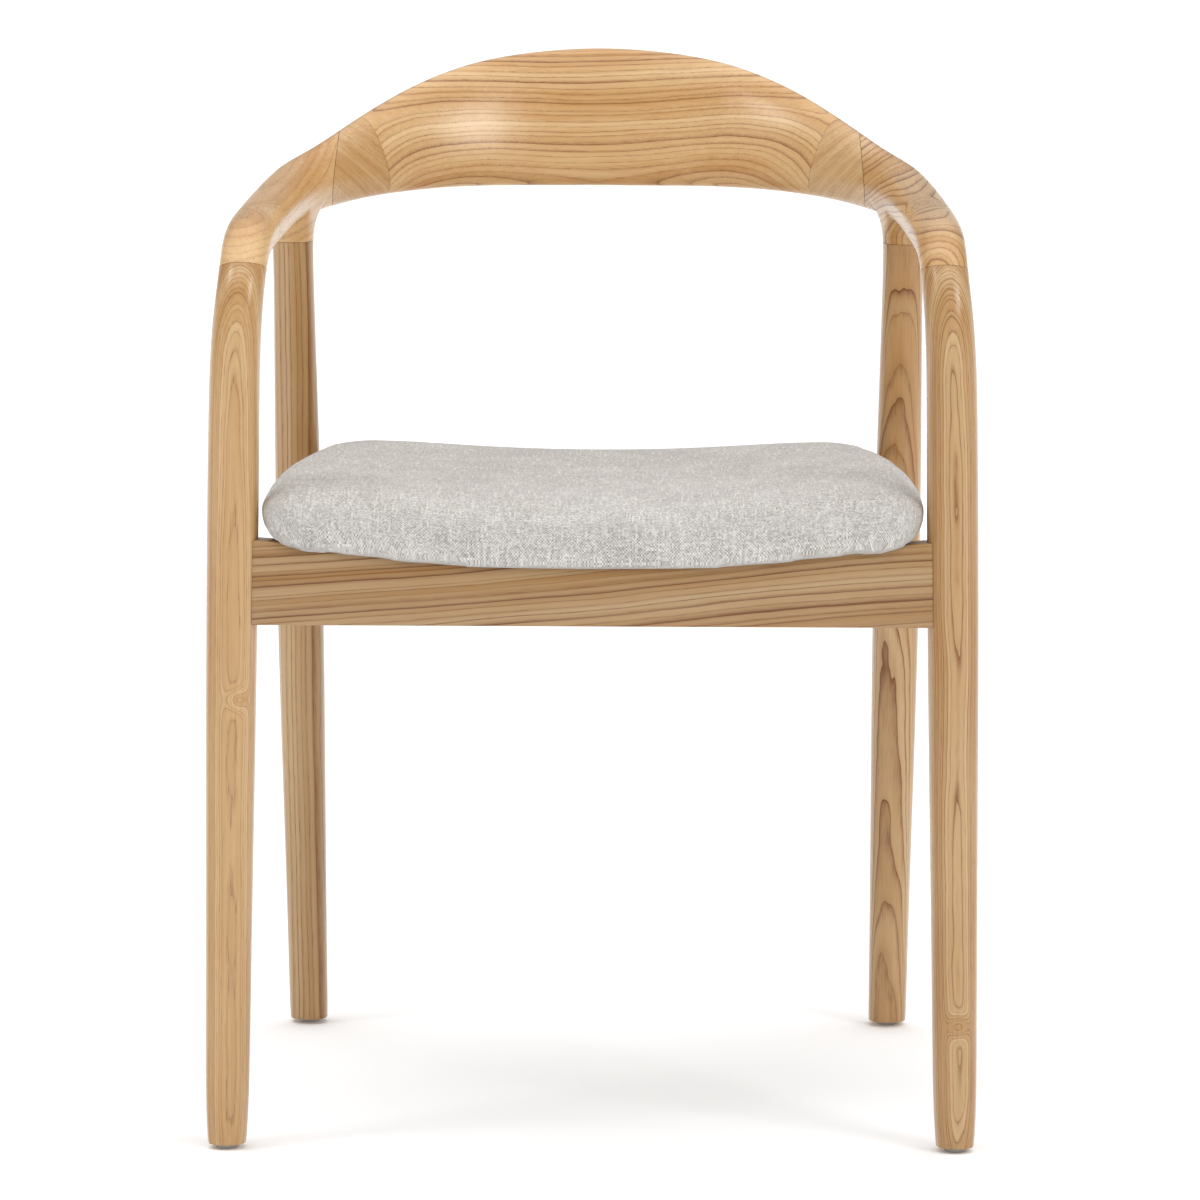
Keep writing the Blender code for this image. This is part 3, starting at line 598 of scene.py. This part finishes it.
def swell(obj):
    """Remesh the seat evenly and let a cloth simulation inflate it a little."""
    remesh = obj.modifiers.new("remesh", "REMESH")
    remesh.mode = "VOXEL"
    remesh.voxel_size = REMESH
    bm = evaluated_bmesh(obj)
    obj.modifiers.remove(remesh)
    bm.to_mesh(obj.data)
    bm.free()
    start = numpy.zeros(len(obj.data.vertices) * 3)
    obj.data.vertices.foreach_get("co", start)
    cloth = obj.modifiers.new("cloth", "CLOTH")
    cloth.settings.quality = 5
    cloth.settings.use_pressure = True
    cloth.settings.uniform_pressure_force = 4
    cloth.settings.effector_weights.gravity = 0
    cloth.point_cache.frame_start = 1
    cloth.point_cache.frame_end = FRAMES
    for number in range(1, FRAMES + 1):
        bpy.context.scene.frame_set(number)
    evaluated = obj.evaluated_get(bpy.context.evaluated_depsgraph_get())
    swollen = numpy.zeros(len(start))
    evaluated.data.vertices.foreach_get("co", swollen)
    obj.modifiers.remove(cloth)
    bpy.context.scene.frame_set(1)
    move = (swollen - start).reshape(-1, 3)
    length = numpy.linalg.norm(move, axis=1, keepdims=True)
    move *= numpy.minimum(1, SWELL_CAP / numpy.maximum(length, 1e-9))
    obj.data.vertices.foreach_set("co", start + move.ravel())


def make_cushion():
    """The padded seat: fabric over foam, inflated, then pressed clear of the wood round it."""
    obj = helper_object("seat_cushion", seat_cushion_form())
    swell(obj)
    smooth = obj.modifiers.new("smooth", "SUBSURF")
    smooth.levels = 1
    smooth.render_levels = 1
    bm = evaluated_bmesh(obj)
    discard(obj)
    for vert in bm.verts:
        press_clear(vert)
    weave = bm.verts.layers.float_vector.new("weave")
    bm.normal_update()
    for vert in bm.verts:
        vert[weave] = weave_place(vert)
    nodes = ["seat_cover", "seat_foam"]
    cushion = new_piece("seat_cushion", bm, fabric_material(), nodes)


FRONT_ROOM = 0.2399  # half the room beside the front legs
MIDDLE_ROOM = 0.2549
REAR_ROOM = 0.2135
FRONT_ROOM_END_Y = -0.1930
REAR_ROOM_START_Y = 0.1100
ROOM_CHANGE = 0.020  # the room changes over this depth


def seat_room(y):
    """Half the room for the seat between the front legs, behind them and between the rear legs."""
    behind = min(1, max(0, (y - FRONT_ROOM_END_Y) / ROOM_CHANGE))
    beside = min(1, max(0, (REAR_ROOM_START_Y - y) / ROOM_CHANGE))
    wider = FRONT_ROOM - REAR_ROOM + (MIDDLE_ROOM - FRONT_ROOM) * behind
    return REAR_ROOM + wider * beside


def press_clear(vert):
    """Keep a corner of the seat above the rails and board, and between the legs."""
    point = vert.co
    inner_face = seat_room(point.y)
    point.x = max(-inner_face, min(inner_face, point.x))
    rail_face = FRONT_RAIL_Y - RAIL_THICKNESS / 2 - 0.0006
    floor = rail_top(point.x) + SEAT_FROM
    if point.y > rail_face:
        point.z = max(point.z, floor)
    else:
        point.z = max(point.z, floor - seat_hang(point.x))


def weave_place(vert):
    """Where the fabric's threads run: depths and widths measured over the seat's edges."""
    drop = max(0, rail_top(vert.co.x) + SEAT_THICKNESS - vert.co.z)
    return Vector((vert.co.x + drop * vert.normal.x, vert.co.y + drop * vert.normal.y, 0))


# ---- Under the seat ------------------------------------------------------------------------
def make_dust_cover():
    """The black cloth stretched under the board, a little slack between its staples."""
    low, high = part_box("dust_cover")
    columns, rows, thickness = 60, 56, 0.0006
    bm = bmesh.new()
    bmesh.ops.create_grid(bm, x_segments=columns, y_segments=rows, size=1)
    half_depth = (high.y - low.y) / 2
    for vert in bm.verts:
        u, v = vert.co.x, vert.co.y
        y = (low.y + high.y) / 2 + ORIGIN_Y + v * half_depth
        x = u * (seat_half_width(y) - DUST_COVER_INSET)
        slack = 0.0015 * (1 - u**2) * (1 - v**2)
        inside = max(abs(u), abs(v)) < 0.82
        vert.co = (x, y, rail_top(x) + GAP + thickness - (slack if inside else 0))
    cover = new_piece("fine_dust_cover", bm, dust_cloth_material(), ["dust_cover"])
    solid = cover.modifiers.new("thickness", "SOLIDIFY")
    solid.thickness = thickness
    solid.offset = -1


# ---- Materials -----------------------------------------------------------------------------
class Graph:
    """A material with short calls that add one shader node each and link it up."""

    def __init__(self, name):
        self.material = bpy.data.materials.new(name)
        self.material.use_nodes = True
        self.tree = self.material.node_tree
        self.shader = self.tree.nodes["Principled BSDF"]

    def feed(self, socket, value):
        if isinstance(value, bpy.types.NodeSocket):
            self.tree.links.new(value, socket)
        elif socket.type == "RGBA":
            socket.default_value = (*value, 1)
        else:
            socket.default_value = value

    def add(self, kind, inputs, output=0, **settings):
        node = self.tree.nodes.new("ShaderNode" + kind)
        for name, value in settings.items():
            setattr(node, name, value)
        for key, value in inputs.items():
            self.feed(node.inputs[key], value)
        return node.outputs[output]

    def math(self, operation, first, second=0.0, clamp=False):
        return self.add("Math", {0: first, 1: second}, operation=operation, use_clamp=clamp)

    def vector(self, operation, first, second=(0, 0, 0)):
        output = "Value" if operation in ("LENGTH", "DISTANCE") else "Vector"
        return self.add("VectorMath", {0: first, 1: second}, output, operation=operation)

    def noise(self, place, scale, detail=2.0, output="Fac"):
        """Noise at a place stretched by three scales, in cells per metre."""
        stretched = self.vector("MULTIPLY", place, scale)
        inputs = {"Vector": stretched, "Scale": 1.0, "Detail": detail}
        return self.add("TexNoise", inputs, output)

    def noise_along(self, value):
        """Smooth noise along one number, with one swing for each unit."""
        return self.add("TexNoise", {"W": value, "Scale": 1.0}, "Fac", noise_dimensions="1D")

    def spread(self, value, low, high, to_low=0.0, to_high=1.0):
        """Stretch the range from low to high to a new range, without running past its ends."""
        inputs = {0: value, 1: low, 2: high, 3: to_low, 4: to_high}
        return self.add("MapRange", inputs, clamp=True)

    def mix(self, share, first, second, blend="MIX"):
        inputs = {0: share, 6: first, 7: second}
        return self.add("Mix", inputs, 2, data_type="RGBA", blend_type=blend)

    def bump(self, height, strength, distance):
        inputs = {"Strength": strength, "Distance": distance, "Height": height}
        self.feed(self.shader.inputs["Normal"], self.add("Bump", inputs))

    def finish(self, colour, roughness, **constants):
        self.feed(self.shader.inputs["Base Color"], colour)
        self.feed(self.shader.inputs["Roughness"], roughness)
        for name, value in constants.items():
            self.shader.inputs[name.replace("_", " ").title().replace("Ior", "IOR")].default_value = value
        return self.material


class Cut:
    """How a piece is cut from its trunk: its grain, a point on the trunk's heart and its rings."""

    def __init__(self, grain, heart, ring, bend=0.006, tone=1.0, line=1.0, seed=0, bands=1.1):
        self.grain = Vector(grain).normalized()
        self.heart = Vector(heart)
        self.ring = ring
        self.bend = bend
        self.tone = tone
        self.line = line
        self.bands = bands
        self.seed = seed


ALONG = (0, 1, 0)
CUTS = {
    "backrest": Cut((1, 0, 0.012), (0, 0.190, 0.656), 0.0044, bend=0.010, line=1.2, seed=1),
    "arm_left": Cut(ALONG, (0.246, 0, 0.640), 0.0036, bend=0.014, tone=0.90, line=1.6, seed=2),
    "arm_right": Cut(ALONG, (-0.252, 0, 0.712), 0.0062, bend=0.018, line=0.4, seed=3),
    "arm_inner_block_left": Cut(
        (1, -0.9, 1.1), (0.24, 0.13, 0.50),
        0.0013, tone=0.90, line=0.5, seed=4, bands=0.4,
    ),
    "arm_inner_block_right": Cut(
        (-1, -0.9, 1), (-0.24, 0.13, 0.5),
        0.0016, tone=0.92, line=0.4, seed=5, bands=0.4,
    ),
    "front_leg_left": Cut(
        (-0.016, 0, 1), (0.268, -0.262, 0),
        0.0014, bend=0.006, tone=0.76, line=1.4, seed=6,
    ),
    "front_leg_right": Cut(
        (0.006, -0.012, 1), (-0.258, -0.258, 0),
        0.0016, bend=0.004, tone=0.84, line=0.8, seed=7,
    ),
    "rear_leg_left": Cut(
        (0, -0.275, 1), (0.234, 0.262, 0),
        0.0017, bend=0.006, tone=0.82, line=1.3, seed=8,
    ),
    "rear_leg_right": Cut(
        (0, -0.24, 1), (-0.330, 0.230, 0),
        0.0040, bend=0.003, tone=0.74, line=1.3, seed=9,
    ),
    "front_rail": Cut(
        (1, 0, 0.085), (0, -0.205, 0.300),
        0.0044, bend=0.010, tone=0.61, line=1.7, seed=10,
    ),
    "rear_rail": Cut((1, 0, 0.02), (0, 0.110, 0.330), 0.0060, bend=0.008, tone=0.86, seed=11),
    "side_rail_left": Cut((0, 1, 0.02), (0.200, 0, 0.352), 0.0055, tone=0.90, seed=12),
    "side_rail_right": Cut((0, 1, -0.02), (-0.200, 0, 0.352), 0.0055, tone=0.90, seed=13),
}

# Where a branch grew out of the wood, its rings close round a point: the point and their reach.
EYES = {
    "arm_left": ((0.2365, -0.0946, 0.6785), 0.019),
    "arm_right": ((-0.2332, -0.1300, 0.6721), 0.024),
    "front_leg_left": ((0.2660, -0.2430, 0.0950), 0.008),
    "front_leg_right": ((-0.2540, -0.2449, 0.3320), 0.008),
}


def wood_for(node):
    return wood_material(f"ash_{node}", CUTS[node], EYES.get(node))


def trunk_place(graph, cut):
    """A place in the piece, seen from its trunk: the heart is the Z axis."""
    first = cut.grain.orthogonal().normalized()
    second = cut.grain.cross(first)
    turn = Matrix((first, second, cut.grain))
    shift = -(turn @ cut.heart) + Vector((0, 0, 1.7 * cut.seed))
    inputs = {
        "Vector": graph.add("TexCoord", {}, "Object"),
        "Location": shift,
        "Rotation": turn.to_euler(),
    }
    return graph.add("Mapping", inputs)


def eye_swirl(graph, place, reach):
    """How much further from the heart the rings seem to lie round an eye."""
    away = graph.vector("DISTANCE", graph.add("TexCoord", {}, "Object"), place)
    nearness = graph.math("DIVIDE", away, reach)
    fall = graph.math("EXPONENT", graph.math("MULTIPLY", graph.math("MULTIPLY", nearness, nearness), -1))
    return graph.math("MULTIPLY", fall, reach)


def wood_material(name, cut, eye=None):
    """Lacquered ash: growth rings with porous early wood, fine fibres and bands of changing tone."""
    graph = Graph(name)
    place = trunk_place(graph, cut)
    broad = graph.vector("SUBTRACT", graph.noise(place, (8, 8, 2.2), output="Color"), (0.5,) * 3)
    broad = graph.vector("MULTIPLY", broad, (2 * cut.bend, 2 * cut.bend, 0))
    fine = graph.vector("SUBTRACT", graph.noise(place, (60, 60, 14), output="Color"), (0.5,) * 3)
    fine = graph.vector("MULTIPLY", fine, (0.0024, 0.0024, 0))
    bent = graph.vector("ADD", graph.vector("ADD", place, broad), fine)
    radius = graph.vector("LENGTH", graph.vector("MULTIPLY", bent, (1, 1, 0)))
    if eye:
        radius = graph.math("ADD", radius, eye_swirl(graph, *eye))
    rings = graph.math("DIVIDE", radius, cut.ring)
    uneven = graph.noise_along(graph.math("MULTIPLY", rings, 0.45))
    rings = graph.math("ADD", rings, graph.math("MULTIPLY", uneven, 1.6))
    number = graph.math("ADD", graph.math("FLOOR", rings), 31.0 * cut.seed)
    chance = graph.add("TexWhiteNoise", {"W": number}, "Value", noise_dimensions="1D")
    share = graph.math("FRACT", rings)

    early = graph.math("EXPONENT", graph.math("MULTIPLY", share, graph.spread(chance, 0, 1, -9.0, -3.4)))
    late = graph.math("MULTIPLY", graph.math("POWER", share, 6.0), 0.22)
    patchy = graph.spread(graph.noise(place, (30, 30, 8)), 0.3, 0.7, 0.60, 1.0)
    strength = graph.math("MULTIPLY", graph.spread(chance, 0, 1, 0.40, 1.0), patchy)
    line = graph.math("MULTIPLY", graph.math("MULTIPLY", early, strength), cut.line)
    line = graph.math("ADD", line, late, clamp=True)

    pores = graph.spread(graph.noise(place, (1300, 1300, 70), 1.0), 0.50, 0.64)
    porous = graph.math("MULTIPLY", pores, graph.spread(early, 0, 0.5, 0.10, 1.0))
    fibres = graph.noise(place, (420, 420, 7), 3.0)
    bands = graph.noise_along(graph.math("MULTIPLY", rings, 0.23))
    cloudy = graph.noise(place, (14, 14, 4), 3.0)
    tone = graph.math("ADD", graph.math("MULTIPLY", fibres, 0.30), graph.math("MULTIPLY", cloudy, 0.50))
    tone = graph.math("ADD", tone, graph.math("MULTIPLY", graph.math("SUBTRACT", bands, 0.5), cut.bands))
    pale = tuple(part * cut.tone for part in ASH_LIGHT)
    deep = tuple(part * cut.tone for part in ASH_MID)
    colour = graph.mix(graph.spread(tone, 0.14, 0.66), pale, deep)
    dark = tuple(part * cut.tone for part in ASH_LINE)
    colour = graph.mix(line, colour, dark)
    colour = graph.mix(graph.math("MULTIPLY", porous, 0.42), colour, ASH_PORE)

    roughness = graph.math("ADD", 0.36, graph.math("MULTIPLY", porous, 0.20))
    roughness = graph.math("ADD", roughness, graph.math("MULTIPLY", cloudy, 0.08))
    height = graph.math("MULTIPLY", graph.math("ADD", porous, graph.math("MULTIPLY", line, 0.4)), -1)
    graph.bump(height, 0.35, 0.00025)
    return graph.finish(colour, roughness, specular_ior_level=0.1, coat_weight=0.75, coat_roughness=0.25)


THREAD_PITCH = 0.0011


def fabric_material():
    """A heathered plain weave: each thread has a tone of its own, with slubs; the raised crossings carry a
    painted highlight and the dips between them a painted shade.
    """
    graph = Graph("oatmeal_weave")
    place = graph.add("Attribute", {}, "Vector", attribute_name="weave")
    wander = graph.vector("SUBTRACT", graph.noise(place, (60, 60, 0), output="Color"), (0.5,) * 3)
    place = graph.vector("ADD", place, graph.vector("MULTIPLY", wander, (0.0012, 0.0012, 0)))
    threads = graph.vector("MULTIPLY", place, (1 / THREAD_PITCH,) * 3)
    parts = graph.tree.nodes.new("ShaderNodeSeparateXYZ")
    graph.feed(parts.inputs[0], threads)
    warp = graph.math("SINE", graph.math("MULTIPLY", parts.outputs["X"], math.pi))
    weft = graph.math("SINE", graph.math("MULTIPLY", parts.outputs["Y"], math.pi))
    # over is the weave's relief, high on the raised thread crossings and low in the dips; the bump draws it
    # as height.
    over = graph.spread(graph.math("MULTIPLY", warp, weft), -0.6, 0.6)
    crossing = graph.vector("FLOOR", threads)
    chance = graph.add("TexWhiteNoise", {"Vector": crossing}, "Value")
    long_warp = graph.noise(graph.vector("MULTIPLY", crossing, (1, 0.05, 0)), (1.7, 1, 1), 0.0)
    long_weft = graph.noise(graph.vector("MULTIPLY", crossing, (0.04, 1, 0)), (1, 1.7, 1), 0.0)
    slubs = graph.math("MAXIMUM", graph.spread(long_warp, 0.50, 0.76), graph.spread(long_weft, 0.62, 0.80))
    cloudy = graph.noise(place, (20, 20, 0), 3.0)
    # Painted highlight and painted shade: the relief (over) makes the colour lighter on the raised
    # crossings and darker in the dips. The chance, slubs and cloudy terms are the yarn's own tones.
    light = graph.math("ADD", graph.math("MULTIPLY", over, 0.34), graph.math("MULTIPLY", chance, 0.48))
    light = graph.math("ADD", light, graph.math("MULTIPLY", slubs, 0.20))
    light = graph.math("ADD", light, graph.math("MULTIPLY", cloudy, 0.30))
    shade = graph.spread(light, 0.08, 1.12)
    colour = graph.mix(shade, FABRIC_DARK, FABRIC_PALE)
    graph.bump(graph.math("ADD", over, graph.math("MULTIPLY", slubs, 0.5)), 0.45, 0.0004)
    return graph.finish(colour, 0.92, specular_ior_level=0.2, sheen_weight=0.15, sheen_roughness=0.5)


def speckled_material(name, dark, pale, scale, roughness, metallic=0.0):
    """A plain material broken up by fine noise in its colour, roughness and height."""
    graph = Graph(name)
    place = graph.add("TexCoord", {}, "Object")
    speckle = graph.noise(place, (scale,) * 3, 3.0)
    broad = graph.noise(place, (scale / 12,) * 3, 2.0)
    share = graph.spread(graph.math("ADD", speckle, broad), 0.7, 1.3)
    graph.bump(speckle, 0.2, 0.0002)
    rough = graph.spread(broad, 0.3, 0.7, roughness - 0.06, roughness + 0.06)
    return graph.finish(graph.mix(share, dark, pale), rough, metallic=metallic)


def plastic_material():
    return speckled_material("grey_plastic", (0.36, 0.36, 0.36), (0.46, 0.46, 0.45), 900, 0.45)


def dust_cloth_material():
    return speckled_material("black_dust_cloth", (0.012, 0.012, 0.012), (0.035, 0.034, 0.033), 1400, 0.9)


def steel_material():
    return speckled_material("screw_steel", (0.42, 0.41, 0.40), (0.62, 0.61, 0.60), 1100, 0.35, 1.0)


def plywood_material():
    """Birch plywood: thin veneers with their edges in alternate tones and a fine face grain."""
    graph = Graph("plywood")
    place = graph.add("TexCoord", {}, "Object")
    layers = graph.add("SeparateXYZ", {0: place}, "Z")
    veneer = graph.math("FRACT", graph.math("MULTIPLY", layers, 1 / 0.0030))
    face = graph.noise(place, (12, 240, 900), 3.0)
    share = graph.math("ADD", graph.math("MULTIPLY", veneer, 0.35), graph.math("MULTIPLY", face, 0.6))
    colour = graph.mix(graph.spread(share, 0.2, 0.8), (0.62, 0.45, 0.28), (0.40, 0.25, 0.13))
    graph.bump(face, 0.2, 0.0002)
    return graph.finish(colour, 0.6)


def dress_frame_nodes():
    """Give the frame's own nodes that stay in view their materials."""
    block_cut = Cut((0.2, 1, 0), (0, 0.02, 0.30), 0.0016, tone=0.9, line=0.5, seed=14)
    dowel_cut = Cut((0.3, 1, 0.2), (0, 0.0, 0.50), 0.0014, tone=0.95, line=0.4, seed=15)
    block = wood_material("beech_block", block_cut)
    dowel = wood_material("beech_dowel", dowel_cut)
    steel = steel_material()
    plywood = plywood_material()
    for name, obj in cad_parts.items():
        for start, material in (
            ("corner_block", block),
            ("seat_screw", steel),
            ("block_screw", steel),
            ("seat_board", plywood),
        ):
            if name.startswith(start):
                obj.material_slots[0].material = material
        if "dowel" in name:
            obj.material_slots[0].material = dowel


# ---- Studio --------------------------------------------------------------------------------
CAMERA_PLACE = (0.0550, -4.8266, 1.0450)
CAMERA_DOWN = math.radians(7.94)
CAMERA_TURN = math.radians(0.61580)
CAMERA_ROLL = 0.003
LENS = 193.71

# The surround's brightness by the direction's height: a white horizon, a dim band, a bright top.
SKY = ((0.0, 0.50), (0.05, 0.50), (0.12, 0.16), (0.45, 0.20), (1.0, 0.96))
SKY_STRENGTH = 2.0
FLOOR_WHITE = (0.99, 0.99, 0.99)
FLOOR_GLOW = 0.1  # the floor shines faintly, so that shadows on it stay faint


def make_camera():
    data = bpy.data.cameras.new("camera")
    data.lens = LENS
    data.sensor_width = 36
    data.clip_end = 100
    camera = bpy.data.objects.new("camera", data)
    bpy.context.scene.collection.objects.link(camera)
    turn = Euler((math.pi / 2 - CAMERA_DOWN, 0, CAMERA_TURN)).to_matrix()
    turn = turn @ Matrix.Rotation(CAMERA_ROLL, 3, "Z")
    camera.matrix_world = Matrix.Translation(CAMERA_PLACE) @ turn.to_4x4()
    bpy.context.scene.camera = camera


def make_light(name, place, target, size, power):
    """A rectangular softbox that faces a target."""
    data = bpy.data.lights.new(name, "AREA")
    data.shape = "RECTANGLE"
    data.size, data.size_y = size
    data.energy = power
    light = bpy.data.objects.new(name, data)
    bpy.context.scene.collection.objects.link(light)
    direction = Vector(target) - Vector(place)
    light.matrix_world = Matrix.Translation(place) @ direction.to_track_quat("-Z", "Y").to_matrix().to_4x4()


def make_studio():
    """A plain white floor, a pale surround and three softboxes: right, left and in front above."""
    bm = bmesh.new()
    bmesh.ops.create_grid(bm, x_segments=1, y_segments=1, size=60)
    floor = helper_object("floor", bm)
    graph = Graph("white_floor")
    white = graph.finish(FLOOR_WHITE, 0.9, specular_ior_level=0.0, emission_strength=FLOOR_GLOW)
    floor.data.materials.append(white)
    world = bpy.data.worlds.new("studio")
    world.use_nodes = True
    tree = world.node_tree
    direction = tree.nodes.new("ShaderNodeTexCoord").outputs["Generated"]
    parts = tree.nodes.new("ShaderNodeSeparateXYZ")
    tree.links.new(direction, parts.inputs[0])
    levels = tree.nodes.new("ShaderNodeValToRGB")
    tree.links.new(parts.outputs["Z"], levels.inputs["Fac"])
    levels.color_ramp.elements.remove(levels.color_ramp.elements[1])
    for height, level in SKY:
        stop = levels.color_ramp.elements.new(height)
        stop.color = (level, level, level, 1)
    surround = tree.nodes["Background"]
    tree.links.new(levels.outputs["Color"], surround.inputs["Color"])
    surround.inputs["Strength"].default_value = SKY_STRENGTH
    bpy.context.scene.world = world
    aim = (0, 0, 0.60)
    make_light("right_softbox", (1.9, -1.9, 1.95), aim, (0.9, 0.6), 20)
    make_light("left_softbox", (-2.0, -1.2, 2.5), aim, (0.7, 0.6), 12)
    make_light("top_softbox", (0.3, -2.0, 3.4), aim, (1.0, 0.6), 3)
    bpy.context.scene.view_settings.view_transform = "Standard"


make_camera()
make_studio()
make_wooden_frame()
make_seat_frame()
make_glides()
make_cushion()
make_dust_cover()
dress_frame_nodes()
